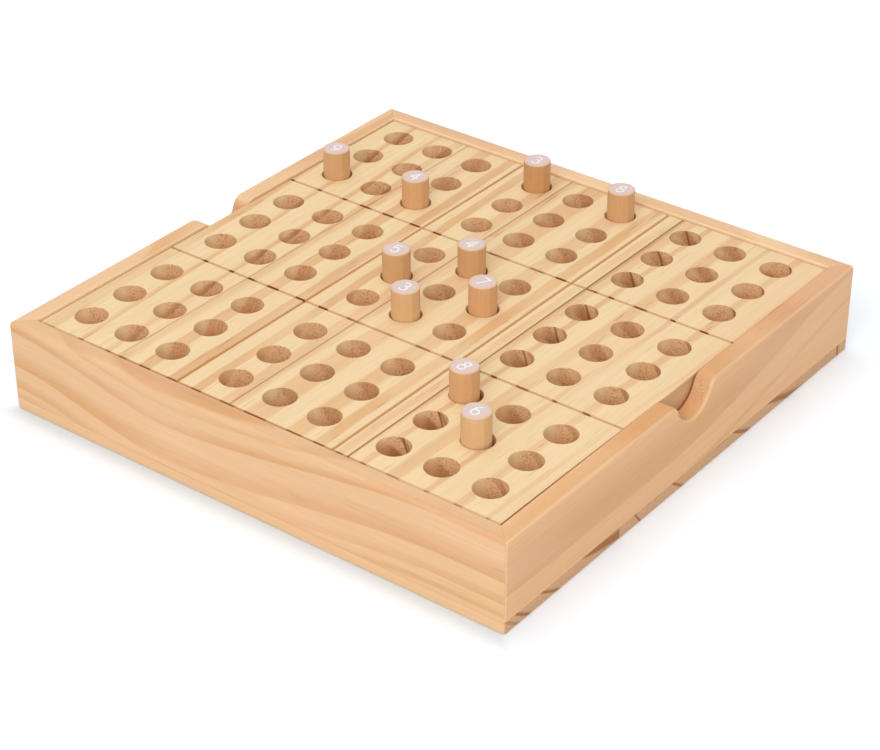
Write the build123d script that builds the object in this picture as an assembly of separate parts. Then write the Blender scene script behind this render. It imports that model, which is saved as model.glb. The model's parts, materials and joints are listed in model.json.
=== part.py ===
from build123d import *
import math
import os

# Wooden sudoku game: a shallow pine box, a loose board with 81 peg holes that closes it, and number pegs.
# X runs along the front wall and Y from front to back. Z is up, with the origin under the middle of the box.

# box
box_side = 200.0
box_height = 33.0
base_thickness = 4.5
wall_thickness = 6.5
rim_radius = 1.5
corner_radius = 1.2
lip_ease = 0.4
foot_ease = 0.6

# finger notch in the left and right walls
notch_depth = 9.6
notch_radius = 9.2
notch_shoulder = 13.5

# board
board_side = 186.0
drilled_thickness = 10.0
backing_thickness = 5.0
board_below_rim = 0.9
hole_diameter = 11.0
hole_pitch = 18.0
block_gap = 27.0
grid_shift = 1.5
groove_width = 1.1
groove_depth = 0.9

# glue lines of the edge-glued board and base
board_glue_lines = (-58.3, -11.2, 36.0)
base_glue_lines = (-40.6, 22.5, 85.4)

# corner blocks under the board
block_side = 14.0

# pegs
peg_diameter = 9.6
peg_length = 20.8
peg_rest_shift = 0.6

# directions in plan, in degrees, in which a peg leans on the side of its hole
to_front_corner = -53.0
to_front_left = -118.0

# pegs standing in the board, as (number, column, row, lean), with the places counted from the front left hole
pegs_on_board = (
    (9, 1, 7, to_front_corner), (4, 3, 7, to_front_corner), (3, 4, 9, to_front_corner),
    (8, 6, 9, to_front_corner), (4, 5, 6, to_front_corner), (5, 4, 5, to_front_corner),
    (7, 6, 5, to_front_corner), (3, 5, 4, to_front_corner), (8, 7, 3, to_front_left),
    (6, 8, 2, to_front_left),
)

# spare pegs lie on the base in rows, two groups to a row
pegs_per_number = 9
spare_sides = 12
spare_gap = 0.5
spare_row_pitch = 22.5
spare_wall_gap = 1.0

# two sizes closer than this are the same
same = 0.01

well_half = box_side / 2 - wall_thickness
board_top = box_height - board_below_rim
hole_floor = board_top - drilled_thickness
board_bottom = hole_floor - backing_thickness
half_board = board_side / 2


def grid_line(index):
    """Distance from the middle of the hole grid to a column or row, counted from 1."""
    return (index - 5) * hole_pitch + ((index - 1) // 3 - 1) * (block_gap - hole_pitch)


def hole_x(column):
    return grid_line(column) - grid_shift


def hole_y(row):
    return grid_line(row) + grid_shift


def block(x_min, x_max, y_min, y_max, z_min, z_max):
    """A box between two corners."""
    size = Box(x_max - x_min, y_max - y_min, z_max - z_min)
    return Pos((x_min + x_max) / 2, (y_min + y_max) / 2, (z_min + z_max) / 2) * size


def notch_cutter():
    """The finger notch right across the box: a half round whose sides roll over into round shoulders."""
    centre_z = box_height - notch_depth + notch_radius
    drop = box_height - centre_z
    shoulder_radius = (notch_shoulder**2 + drop**2 - notch_radius**2) / (2 * (notch_radius + drop))
    reach = notch_radius / (notch_radius + shoulder_radius)
    shoulder_z = box_height - shoulder_radius
    join_y = notch_shoulder * reach
    join_z = centre_z + (shoulder_z - centre_z) * reach
    turn = (math.pi / 2 + math.atan2(join_z - shoulder_z, notch_shoulder - join_y)) / 2
    crest_y = notch_shoulder - shoulder_radius * math.cos(turn)
    crest_z = shoulder_z + shoulder_radius * math.sin(turn)
    clear_z = box_height + shoulder_radius
    outline = [
        ThreePointArc((-notch_shoulder, box_height), (-crest_y, crest_z), (-join_y, join_z)),
        ThreePointArc((-join_y, join_z), (0, box_height - notch_depth), (join_y, join_z)),
        ThreePointArc((join_y, join_z), (crest_y, crest_z), (notch_shoulder, box_height)),
        Polyline(
            (notch_shoulder, box_height), (notch_shoulder, clear_z),
            (-notch_shoulder, clear_z), (-notch_shoulder, box_height)),
    ]
    return extrude(Plane.YZ * make_face(outline), box_side, both=True)


def rim_edges(ring, half, corner):
    """The upper edges of a ring that run round the square of this half width, down into the notches too."""
    cut_off = (1 - math.sqrt(0.5)) * corner
    lowest = box_height - notch_depth

    def along_rim(edge):
        points = [edge @ 0, edge @ 0.5, edge @ 1]
        upright = abs(points[0].X - points[2].X) + abs(points[0].Y - points[2].Y) < same
        outward = [max(abs(point.X), abs(point.Y)) for point in points]
        near = min(outward) > half - cut_off - same and max(outward) < half + same
        return near and not upright and min(point.Z for point in points) > lowest - same
    return ring.edges().filter_by(along_rim)


def frame_ring():
    """The four walls as one ring, with both notches and the rounded edges, before it is mitred apart."""
    half = box_side / 2
    outside = block(-half, half, -half, half, base_thickness, box_height)
    outside = fillet(outside.edges().filter_by(Axis.Z), corner_radius)
    well = block(-well_half, well_half, -well_half, well_half, base_thickness, box_height)
    ring = outside - well - notch_cutter()
    ring = fillet(rim_edges(ring, half, corner_radius), rim_radius)
    return chamfer(rim_edges(ring, well_half, 0), lip_ease)


def walls():
    """Each wall is the part of the ring between two mitre cuts, which run through the corners."""
    ring = frame_ring()
    triangle = make_face(Polyline((0, 0), (box_side, -box_side), (box_side, box_side), close=True))
    wedge = extrude(triangle, 2 * box_height)
    turns = {"right_wall": 0, "back_wall": 90, "left_wall": 180, "front_wall": 270}
    return {name: ring & (Rot(0, 0, angle) * wedge) for name, angle in turns.items()}


def base_staves():
    """The base is a board of four glued staves under the walls, flush with their faces."""
    half = box_side / 2
    base = block(-half, half, -half, half, 0, base_thickness)
    base = fillet(base.edges().filter_by(Axis.Z), corner_radius)
    base = chamfer(base.faces().sort_by(Axis.Z)[0].edges(), foot_ease)
    lines = (-half,) + base_glue_lines + (half,)
    staves = {}
    for number, (y_min, y_max) in enumerate(zip(lines, lines[1:]), 1):
        staves[f"base_stave_{number}"] = base & block(-half, half, y_min, y_max, 0, base_thickness)
    return staves


def corner_blocks():
    """Blocks glued into the corners of the well, whose tops carry the board."""
    names = {"front_left": (-1, -1), "front_right": (1, -1), "back_left": (-1, 1), "back_right": (1, 1)}
    blocks = {}
    for name, (side_x, side_y) in names.items():
        x = sorted((side_x * well_half, side_x * (well_half - block_side)))
        y = sorted((side_y * well_half, side_y * (well_half - block_side)))
        blocks[f"corner_block_{name}"] = block(*x, *y, base_thickness, board_bottom)
    return blocks


def groove(along_x, offset):
    """A V groove right across the board, with its point down."""
    half = groove_width / 2
    vee = make_face(Polyline((-half, 0), (half, 0), (0, -groove_depth), close=True))
    start = Pos(offset, 0, board_top) if not along_x else Pos(0, offset, board_top)
    plane = Plane.YZ if along_x else Plane.XZ
    return start * extrude(plane * vee, half_board, both=True)


def grooved_board():
    """The upper layer of the board, with the grooves that mark its nine blocks."""
    board = block(-half_board, half_board, -half_board, half_board, hole_floor, board_top)
    block_line = (grid_line(3) + grid_line(4)) / 2
    for side in (-1, 1):
        board -= groove(False, side * block_line - grid_shift)
        board -= groove(True, side * block_line + grid_shift)
    return board


def board_pieces():
    """Four glued staves, drilled right through, on a thin backing board that closes the holes."""
    board = grooved_board()
    lines = (-half_board,) + board_glue_lines + (half_board,)
    drill = Cylinder(hole_diameter / 2, drilled_thickness, align=(Align.CENTER, Align.CENTER, Align.MAX))
    backing = block(-half_board, half_board, -half_board, half_board, board_bottom, hole_floor)
    pieces = {"backing_board": backing}
    for number, (x_min, x_max) in enumerate(zip(lines, lines[1:]), 1):
        stave = board & block(x_min, x_max, -half_board, half_board, hole_floor, board_top)
        columns = [c for c in range(1, 10) if x_min < hole_x(c) < x_max]
        places = [(hole_x(c), hole_y(r), board_top) for c in columns for r in range(1, 10)]
        pieces[f"board_stave_{number}"] = stave - [Pos(*place) * drill for place in places]
    return pieces


def standing_pegs():
    """The pegs of the game in play. Each leans on a side of its hole, which is wider than the peg."""
    peg = Cylinder(peg_diameter / 2, peg_length, align=(Align.CENTER, Align.CENTER, Align.MIN))
    pegs = {}
    for number, column, row, lean in pegs_on_board:
        shift_x = peg_rest_shift * math.cos(math.radians(lean))
        shift_y = peg_rest_shift * math.sin(math.radians(lean))
        place = Pos(hole_x(column) + shift_x, hole_y(row) + shift_y, hole_floor)
        pegs[f"peg_{number}_column_{column}_row_{row}"] = place * peg
    return pegs


def spare_pegs():
    """The pegs that wait in the well, lying in one layer, with flat sides in place of a round."""
    used = [peg[0] for peg in pegs_on_board]
    radius = peg_diameter / 2
    spacing = peg_diameter + spare_gap
    section = RegularPolygon(radius, spare_sides, major_radius=False, rotation=180 / spare_sides)
    lying = Rot(-90, 0, 0) * extrude(section, peg_length)
    groups = {}
    for number in range(1, 10):
        row, half = divmod(number - 1, 2)
        count = pegs_per_number - used.count(number)
        y = well_half - block_side - spare_wall_gap - peg_length - row * spare_row_pitch
        x = spare_wall_gap + radius if half else spare_wall_gap + radius - well_half
        places = [Pos(x + i * spacing, y, base_thickness + radius) for i in range(count)]
        groups[f"spare_pegs_{number}"] = Compound(children=[place * lying for place in places])
    return groups


def main():
    parts = {}
    for group in (walls(), base_staves(), corner_blocks(), board_pieces(), standing_pegs(), spare_pegs()):
        parts.update(group)
    os.makedirs("parts", exist_ok=True)
    for name, shape in parts.items():
        export_step(shape, f"parts/{name}.step")
        print(name, round(shape.volume), "mm3")


main()
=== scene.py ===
# %% [markdown]
# A wooden sudoku game: a shallow pine box, closed by a loose board with nine by nine peg holes.
# The CAD frame says where every piece is and how large. This lesson gives each piece its finished
# surface and its wood, and never moves it. The first step loads the frame.

# %% Load the frame
import json
import math

import bmesh
import bpy
import numpy as np
from mathutils import Matrix, Vector


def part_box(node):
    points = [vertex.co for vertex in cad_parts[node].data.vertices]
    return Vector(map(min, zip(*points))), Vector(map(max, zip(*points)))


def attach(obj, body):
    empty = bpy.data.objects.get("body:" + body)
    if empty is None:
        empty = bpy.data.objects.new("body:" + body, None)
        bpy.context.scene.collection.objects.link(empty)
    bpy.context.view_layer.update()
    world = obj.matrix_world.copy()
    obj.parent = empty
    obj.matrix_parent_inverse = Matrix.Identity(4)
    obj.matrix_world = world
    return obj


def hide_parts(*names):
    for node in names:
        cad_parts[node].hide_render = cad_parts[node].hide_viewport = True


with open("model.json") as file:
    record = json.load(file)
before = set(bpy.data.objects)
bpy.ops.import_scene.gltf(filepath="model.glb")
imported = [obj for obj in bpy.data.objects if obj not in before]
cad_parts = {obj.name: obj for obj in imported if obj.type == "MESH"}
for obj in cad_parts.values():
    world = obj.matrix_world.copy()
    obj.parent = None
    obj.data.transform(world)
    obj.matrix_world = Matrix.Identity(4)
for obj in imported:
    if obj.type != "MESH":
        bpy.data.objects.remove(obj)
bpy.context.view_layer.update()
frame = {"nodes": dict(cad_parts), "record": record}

mm = 0.001

# %% [markdown]
# Every size below comes from the frame. The peg holes are in its record as round mounts, and the columns
# and rows that have an empty hole somewhere are all nine of each, so together they place all 81 holes.
# The V grooves lie halfway between the blocks of three.

# %% Sizes from the frame
sockets = [m for m in frame["record"]["mounts"] if m["kind"] == "bore"]
hole_columns = sorted({round(m["pos_m"][0], 6) for m in sockets})
hole_rows = sorted({round(m["pos_m"][1], 6) for m in sockets})
hole_radius = sockets[0]["dims"]["r_mm"] * mm

staves = [f"board_stave_{i}" for i in range(1, 5)]
base_staves = [f"base_stave_{i}" for i in range(1, 5)]
pegs = sorted(n for n in frame["nodes"] if n.startswith("peg_"))
spare_pegs = [f"spare_pegs_{i}" for i in range(1, 10)]
corner_blocks = sorted(n for n in frame["nodes"] if n.startswith("corner_block_"))


def corners(node):
    """The low and the high corner of a CAD node's box."""
    return [Vector(corner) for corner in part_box(node)]


wall_low, wall_high = corners("front_wall")
box_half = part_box("base_stave_1")[1][0]
rim = wall_high.z
wall_thickness = wall_high.y - wall_low.y
peg_low, peg_high = corners(pegs[0])
peg_radius = (peg_high.x - peg_low.x) / 2
peg_length = peg_high.z - peg_low.z


def block_lines(places):
    """The two lines halfway between the third and fourth, and the sixth and seventh, of nine places."""
    return [(places[i] + places[i + 1]) / 2 for i in (2, 5)]


groove_lines_x = block_lines(hole_columns)
groove_lines_y = block_lines(hole_rows)
print("holes:", len(hole_columns) * len(hole_rows), "pegs:", len(pegs))
print("grooves at", groove_lines_x, groove_lines_y)

# %% [markdown]
# The camera stands where the photograph was taken from: 37 degrees round to the right of the front wall
# and 32 degrees above the table, with a long lens. Its angle and distance were found by matching the
# holes' centres, so the hole grid lies over the photograph's to within a pixel. The lens looks straight
# along the view, with no shift.

# %% Camera
view_azimuth = 37.43
view_elevation = 32.22
camera_distance = 0.7966
camera_drop = 0.0272
lens_mm = 98.4
sensor_mm = 36


def direction(azimuth, elevation):
    """A direction in degrees: round from the front to the right, and up. Sines and cosines of both."""
    a, e = math.radians(azimuth), math.radians(elevation)
    return Vector((math.sin(a) * math.cos(e), -math.cos(a) * math.cos(e), math.sin(e)))


def add(name, data):
    """A new object in the scene, for a mesh, a lamp or a camera."""
    made = bpy.data.objects.new(name, data)
    bpy.context.scene.collection.objects.link(made)
    return made


right = direction(view_azimuth + 90, 0)
back = direction(view_azimuth, view_elevation)
up = back.cross(right)

camera_data = bpy.data.cameras.new("camera")
camera_data.lens = lens_mm
camera_data.sensor_width = sensor_mm
camera = add("camera", camera_data)
camera.location = Vector((0, 0, rim)) - camera_drop * up + camera_distance * back
camera.rotation_euler = Matrix((right, up, back)).transposed().to_euler()
bpy.context.scene.camera = camera
print("camera at", [round(v, 4) for v in camera.location])

# %% [markdown]
# The finishes are node materials. Joining nodes by hand takes many lines, so a small bench does it: each
# of its calls adds one node, joins or sets its inputs, and gives back the wire from its output. Wires are
# added and multiplied like numbers, and each sum or product adds its Math node. Colours are written as
# they look on a screen, from 0 to 255, and turned into the linear values that the shader wants.

# %% Colours and wires
def colour(red, green, blue):
    """A screen colour as linear values: below a knee it is divided by 12.92, above it is a power of 2.4."""
    c = np.array([red, green, blue]) / 255
    return (*np.where(c < 0.04045, c / 12.92, ((c + 0.055) / 1.055) ** 2.4).tolist(), 1.0)


class Wire:
    """A node's output on a bench, which can be reckoned with like a number."""

    def __init__(self, bench, socket):
        self.bench, self.socket = bench, socket

    def __add__(self, other):
        return self.bench.maths("ADD", self, other)

    def __sub__(self, other):
        return self.bench.maths("SUBTRACT", self, other)

    def __rsub__(self, other):
        return self.bench.maths("SUBTRACT", other, self)

    def __mul__(self, other):
        return self.bench.maths("MULTIPLY", self, other)

    def __truediv__(self, other):
        return self.bench.maths("DIVIDE", self, other)

    def __pow__(self, other):
        return self.bench.maths("POWER", self, other)

    def __abs__(self):
        return self.bench.maths("ABSOLUTE", self)


print("pale pine in linear values:", [round(v, 3) for v in colour(243, 222, 180)])

# %% A bench for joining nodes
class Bench:
    """Adds nodes to one tree. A value given to a call is a number, a colour or a wire."""

    def __init__(self, tree):
        self.tree = tree

    def put(self, socket, value):
        if isinstance(value, Wire):
            self.tree.links.new(value.socket, socket)
        else:
            socket.default_value = value

    def node(self, kind, inputs=(), **settings):
        made = self.tree.nodes.new(kind)
        for name, value in settings.items():
            setattr(made, name, value)
        for key, value in dict(inputs).items():
            self.put(made.inputs[key], value)
        return made

    def wires(self, sockets):
        """A node's outputs as wires, by name."""
        return {socket.name: Wire(self, socket) for socket in sockets}

    def value(self, kind, inputs=(), output=0, **settings):
        """A new node, as the wire from one of its outputs."""
        return Wire(self, self.node(kind, inputs, **settings).outputs[output])

    def maths(self, operation, *values):
        return self.value("ShaderNodeMath", enumerate(values), operation=operation)

    def largest(self, first, *others):
        for other in others:
            first = self.maths("MAXIMUM", first, other)
        return first

    def scaled(self, vector, *factors):
        return self.value("ShaderNodeVectorMath", {0: vector, 1: factors}, operation="MULTIPLY")

    def moved(self, vector, shift):
        return self.value("ShaderNodeVectorMath", {0: vector, 1: shift}, operation="ADD")

    def split(self, vector):
        return [Wire(self, each) for each in self.node("ShaderNodeSeparateXYZ", {0: vector}).outputs]

    def joined(self, x, y, z):
        return self.value("ShaderNodeCombineXYZ", {0: x, 1: y, 2: z})

    def noise(self, place, scale, detail=2.0, roughness=0.5):
        """Smooth noise. Three numbers as the scale stretch it along the axes, as grain is stretched."""
        if isinstance(scale, tuple):
            place, scale = self.scaled(place, *scale), 1.0
        inputs = {"Vector": place, "Scale": scale, "Detail": detail, "Roughness": roughness}
        return self.value("ShaderNodeTexNoise", inputs)

    def wander(self, place, scale, reach):
        """A slow noise that goes from -reach to reach."""
        return self.noise(place, scale, 1.0) * (2 * reach) - reach

    def rise(self, value, low, high):
        """Goes smoothly from 0 to 1 as the value goes from low to high."""
        inputs = {"Value": value, "From Min": low, "From Max": high}
        return self.value("ShaderNodeMapRange", inputs, interpolation_type="SMOOTHSTEP")

    def near(self, value, places, reach):
        """1 where a value is at one of the places, falling to 0 between the two distances of reach."""
        nearest, *others = [abs(value - each) for each in places]
        for distance in others:
            nearest = self.maths("MINIMUM", nearest, distance)
        return self.rise(nearest, reach[1], reach[0])

    def mixed(self, factor, first, second, blend="MIX"):
        inputs = {0: factor, 6: first, 7: second}
        return self.value("ShaderNodeMix", inputs, output=2, data_type="RGBA", blend_type=blend)

    def tinted(self, wood, mask, tone):
        """Turns a finish towards a screen colour by as much as the mask says."""
        return self.mixed(mask, wood, colour(*tone))

    def shaded(self, wood, shade, warmth):
        """Multiplies the wood by a shade, and its blue by a power of it, so that dark wood is warmer."""
        return self.mixed(1.0, wood, self.joined(shade, shade, shade ** warmth), "MULTIPLY")

    def ramp(self, value, stops):
        """A colour ramp through (place, strength) stops, read as one number."""
        made = self.node("ShaderNodeValToRGB", {0: value})
        elements = made.color_ramp.elements
        for place, strength in stops[2:]:
            elements.new(place)
        for element, (place, strength) in zip(elements, stops):
            element.position = place
            element.color = (strength, strength, strength, 1)
        return self.value("ShaderNodeRGBToBW", {0: Wire(self, made.outputs[0])})


print("a bench can do:", [name for name in vars(Bench) if name[0] != "_"])

# %% Shared groups of nodes
FLOAT, VECTOR, COLOUR = "NodeSocketFloat", "NodeSocketVector", "NodeSocketColor"


def new_group(name, inputs, outputs):
    """An empty shared group with named inputs and outputs.

    It comes as its tree, its bench, the wires of its inputs by name, and the node that takes its outputs.
    """
    tree = bpy.data.node_groups.new(name, "ShaderNodeTree")
    for label, kind in inputs.items():
        tree.interface.new_socket(label, in_out="INPUT", socket_type=kind)
    for label, kind in outputs.items():
        tree.interface.new_socket(label, in_out="OUTPUT", socket_type=kind)
    bench = Bench(tree)
    given = bench.wires(tree.nodes.new("NodeGroupInput").outputs)
    return tree, bench, given, tree.nodes.new("NodeGroupOutput")


def use(bench, group, **values):
    """Places a shared group in a material, with its own values, and gives back the wires of its outputs.

    A tuple is a screen colour.
    """
    placed = bench.node("ShaderNodeGroup", node_tree=group)
    for label, value in values.items():
        value = colour(*value) if isinstance(value, tuple) else value
        bench.put(placed.inputs[label.replace("_", " ").capitalize()], value)
    return bench.wires(placed.outputs).values()


print("kinds of socket:", FLOAT, VECTOR, COLOUR)

# %% [markdown]
# Pine shows two things at once. Its year rings are broad bands: pale early wood that deepens towards a
# peach late wood and then stops short. Along the grain run fine fibres and short dark resin ducts, and
# where the wood is cut across its grain it is darker, with small dark pits and pale pores. The bands
# differ from plank to plank, so each material works out its own. All the rest is the same everywhere, so
# it is one group. A place is in millimetres with the grain along y, and the noises are stretched that way.

# %% The finish that all pine shares
pine_inputs = {
    "Place": VECTOR, "Late": FLOAT, "End": FLOAT, "Early colour": COLOUR, "Late colour": COLOUR,
    "End colour": COLOUR, "Late end": COLOUR, "Ducts": FLOAT, "Blush": FLOAT, "Pits": FLOAT,
}
blush_pink, late_gold, duct_brown = (244, 194, 152), (230, 170, 100), (170, 104, 52)
pit_brown, pale_pore = (142, 82, 42), (255, 226, 184)

pine_finish, bench, given, result = new_group(
    "pine_finish", pine_inputs, {"Colour": COLOUR, "Roughness": FLOAT, "Height": FLOAT})
place, late, end = given["Place"], given["Late"], given["End"]
fibre = bench.noise(place, (2.2, 0.05, 2.2), 3.0, 0.6)
strand = bench.noise(place, (0.55, 0.012, 0.55))
cloud = bench.noise(place, (0.05, 0.012, 0.05), 1.0)
pores = bench.noise(place, 1.9, 3.0, 0.8)
duct_noise = bench.noise(bench.moved(place, (31, 17, 5)), (1.9, 0.09, 1.9), 0.0)
pit_noise = bench.noise(bench.moved(place, (7, 3, 11)), 1.6, 2.0, 0.75)

wood = bench.mixed(late, given["Early colour"], given["Late colour"])
wood = bench.tinted(wood, bench.rise(cloud, 0.45, 0.75) * given["Blush"], blush_pink)
wood = bench.tinted(wood, bench.rise(cloud, 0.55, 0.35) * late * 0.45, late_gold)
shade = (fibre - 0.5) * 0.16 + (strand - 0.5) * 0.13 + (pores - 0.5) * 0.07 + 1.0
wood = bench.shaded(wood, shade, 1.6)
ducts = bench.rise(duct_noise, 0.74, 0.82) * given["Ducts"] * (late * 0.7 + 0.3)
wood = bench.tinted(wood, ducts * 0.7, duct_brown)

cut = bench.mixed(late * 0.8, given["End colour"], given["Late end"])
cut = bench.tinted(cut, bench.rise(pit_noise, 0.48, 0.68) * given["Pits"], pit_brown)
cut = bench.tinted(cut, bench.rise(pores, 0.48, 0.3) * (late * -0.5 + 0.5), pale_pore)
bench.put(result.inputs["Colour"], bench.mixed(end, wood, cut))
bench.put(result.inputs["Roughness"], fibre * 0.16 + 0.5)
bench.put(result.inputs["Height"], late * 0.35 + fibre * 0.6 + pores * end * 1.6)
print("pine_finish:", len(pine_finish.nodes), "nodes")

# %% [markdown]
# Year rings are worked out along one line across the plank. A place is moved onto that line by the ring's
# slant, times its depth, and by a slow waver along the grain. A ramp over the line then has a climb and a
# fall for each band, at the places in millimetres where the plank shows them.

# %% Year rings and the material of a plank
wood_gloss = 0.35


def bands(bench, line_place, low, high, rings):
    """How much late wood there is on a line.

    A ring is (start, full from, full to, end, strength): it climbs from nothing to its strength, stays
    there and falls to nothing again, at places in millimetres along the line.
    """
    stops = [(0.0, 0.0)]
    for start, full_from, full_to, stop, strength in rings:
        for mark, level in ((start, 0.0), (full_from, strength), (full_to, strength), (stop, 0.0)):
            stops.append(((mark - low) / (high - low), level))
    stops.append((1.0, 0.0))
    stops = [(min(max(each, 0.0), 1.0), strength) for each, strength in stops]
    return bench.ramp((line_place - low) / (high - low), stops)


def new_shader(name):
    """A new material, as (material, bench, its shader, places in metres, the surface's own direction)."""
    material = bpy.data.materials.new(name)
    material.use_nodes = True
    bench = Bench(material.node_tree)
    place = bench.wires(bench.node("ShaderNodeTexCoord").outputs)
    return material, bench, material.node_tree.nodes["Principled BSDF"], place["Object"], place["Normal"]


def start_material(name):
    """A new material, as new_shader gives it, but with places in millimetres."""
    material, bench, shader, place, normal = new_shader(name)
    return material, bench, shader, bench.scaled(place, 1000, 1000, 1000), normal


def finish_material(bench, shader, wood, bump_height, roughness, height):
    """Joins a finish to the shader, with a bump that stands bump_height millimetres at full height."""
    bump = bench.value("ShaderNodeBump", {"Strength": 1.0, "Distance": bump_height * mm, "Height": height})
    for label, value in {"Base Color": wood, "Roughness": roughness, "Normal": bump}.items():
        bench.put(shader.inputs[label], value)
    shader.inputs["Specular IOR Level"].default_value = wood_gloss


print("gloss of every finish:", wood_gloss)

# %% [markdown]
# A surface here is a grid of points: one row after another, each row running along one parameter and the
# rows along the other. Neighbouring points make four-sided faces. A piece is a few such grids whose edges
# share their points, so they are merged where they meet, and the normals are turned outwards once.

# %% Grids of points become meshes
weld_distance = 0.002 * mm
crease_angle = math.radians(32)


def points(x, y, z):
    """Places from their coordinates. Each may be a grid, a row, a column or one number for all."""
    return np.stack(np.broadcast_arrays(x, y, z), axis=-1)


def quarter_round(radius, steps):
    """An eased edge as (inset, drop): the radius by one less the sine, and one less the cosine, of a turn."""
    turn = np.linspace(0, math.pi / 2, steps)
    return radius * (1 - np.sin(turn)), radius * (1 - np.cos(turn))


def grid_faces(rows, columns):
    """The faces of a grid of points numbered row by row. Each has four neighbouring points."""
    i, j = np.meshgrid(np.arange(rows - 1), np.arange(columns - 1), indexing="ij")
    corner = i * columns + j
    return np.stack([corner, corner + 1, corner + columns + 1, corner + columns], axis=-1).reshape(-1, 4)


def make_piece(name, grids, body, node):
    """A welded, smooth-shaded piece from grids of points, riding on a body and standing for a node.

    grids is a list of (points, material number), with points of shape (rows, columns, 3).
    """
    places, faces, numbers = [], [], []
    first = 0
    for grid, number in grids:
        rows, columns = grid.shape[:2]
        quads = grid_faces(rows, columns) + first
        places.append(grid.reshape(-1, 3))
        faces.append(quads)
        numbers.append(np.full(len(quads), number))
        first += rows * columns
    places, faces, numbers = (np.concatenate(each) for each in (places, faces, numbers))
    mesh = bpy.data.meshes.new(name)
    mesh.vertices.add(len(places))
    mesh.vertices.foreach_set("co", places.ravel())
    mesh.loops.add(faces.size)
    mesh.loops.foreach_set("vertex_index", faces.ravel())
    mesh.polygons.add(len(faces))
    mesh.polygons.foreach_set("loop_start", np.arange(0, faces.size, 4))
    mesh.polygons.foreach_set("material_index", numbers.astype(np.int32))
    mesh.update(calc_edges=True)
    open_edges = tidy_mesh(mesh)
    piece = add(name, mesh)
    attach(piece, body)
    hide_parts(node)
    print(name, len(mesh.polygons), "faces,", open_edges, "open edges")
    return piece


def tidy_mesh(mesh):
    """Merges points that coincide, drops faces that this leaves with no area, and shades the rest smooth.

    It gives back how many edges don't join exactly two faces. A closed surface has none.
    """
    bm = bmesh.new()
    bm.from_mesh(mesh)
    bmesh.ops.remove_doubles(bm, verts=bm.verts, dist=weld_distance)
    bmesh.ops.dissolve_degenerate(bm, edges=bm.edges, dist=weld_distance)
    bmesh.ops.recalc_face_normals(bm, faces=bm.faces)
    open_edges = sum(len(edge.link_faces) != 2 for edge in bm.edges)
    bm.to_mesh(mesh)
    bm.free()
    mesh.shade_smooth()
    mesh.set_sharp_from_angle(angle=crease_angle)
    return open_edges


print("weld distance", weld_distance, "m")

# %% [markdown]
# The board is four glued staves of pine, drilled right through and grooved. A drilled plate is awkward for
# one plain grid, so it is laid out like a window with many panes. Each pane with a hole is a grid that
# starts at the pane's edge, closes to the hole's eased rim, goes down the wall and opens again under the
# plate. The panes between them carry the V grooves: there the height is the top less the deeper of the
# grooves at that point. Neighbouring panes share their edge points, so they weld into one solid.

# %% The layout of a stave's panes
pane_steps = 12
turn_steps = 4
groove_half = 0.55 * mm
groove_depth = 0.9 * mm
hole_ease = 0.22 * mm
rim_support = 0.12 * mm
board_ease = 0.35 * mm


def groove_cut(x, y):
    """How deep the grooves are at x, y: the nearer to a V's middle, the deeper, and the deeper V wins."""
    near = [1 - np.abs(x - line) / groove_half for line in groove_lines_x]
    near += [1 - np.abs(y - line) / groove_half for line in groove_lines_y]
    return groove_depth * np.clip(np.max(np.broadcast_arrays(*near), axis=0), 0, 1)


def panes(low, high, places, lines):
    """Splits low to high into panes (from, to, its hole's place or None). Half a groove is a pane too."""
    inside = [p for p in places if low < p < high]
    edges = {low, high}
    for line in lines:
        if low < line < high:
            edges |= {line - groove_half, line, line + groove_half}
    for a, b in zip(inside, inside[1:]):
        if not any(a < line < b for line in lines):
            edges.add((a + b) / 2)
    edges = sorted(edges)
    return [(a, b, next((p for p in inside if a < p < b), None)) for a, b in zip(edges, edges[1:])]


def pane_points(pane):
    """The points along one side of a pane: evenly spaced where it has a hole, or else just its ends."""
    a, b, hole = pane
    return np.linspace(a, b, pane_steps + 1) if hole is not None else np.array([a, b])


def side_points(row):
    """The points along a whole row of panes."""
    return np.unique(np.round(np.concatenate([pane_points(pane) for pane in row]), 8))


def loop_round(x, y):
    """The points of a rectangle's edge, anticlockwise from its front left corner and back to it."""
    low_x, high_x, low_y, high_y = x[0] + 0 * y, x[-1] + 0 * y, y[0] + 0 * x, y[-1] + 0 * x
    loop_x = np.concatenate([x[:-1], high_x[:-1], x[:0:-1], low_x[:0:-1], x[:1]])
    loop_y = np.concatenate([low_y[:-1], y[:-1], high_y[:0:-1], y[:0:-1], y[:1]])
    return loop_x, loop_y


low, high = corners(staves[0])
print("stave 1 has", len(panes(low.x, high.x, hole_columns, groove_lines_x)), "columns of panes")

# %% [markdown]
# Down a hole, the radius starts at the hole's own plus its ease and shrinks by the sine of the turn while
# the height falls by one less the cosine, so the rim is a quarter round. The stave's free sides are eased
# the same way. A glued side has no outward direction, so there the same rows fall straight down.

# %% The panes and the sides of a stave
def holed_pane(x_pane, y_pane, top, bottom):
    """A pane with a hole. Rows go from the pane's edge over the rim and down the wall; columns go round."""
    x, y = loop_round(pane_points(x_pane), pane_points(y_pane))
    angle = np.linspace(-0.75 * math.pi, 1.25 * math.pi, len(x))
    inset, drop = quarter_round(hole_ease, turn_steps)
    radius = hole_radius + np.concatenate([[hole_ease + rim_support], inset, [0]])
    height = np.concatenate([[top], top - drop, [bottom]])
    ring_x, ring_y = x_pane[2] + radius[:, None] * np.cos(angle), y_pane[2] + radius[:, None] * np.sin(angle)
    rings = points(ring_x, ring_y, height[:, None])
    return [np.concatenate([points(x, y, top)[None], rings, points(x, y, bottom)[None]])]


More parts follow.
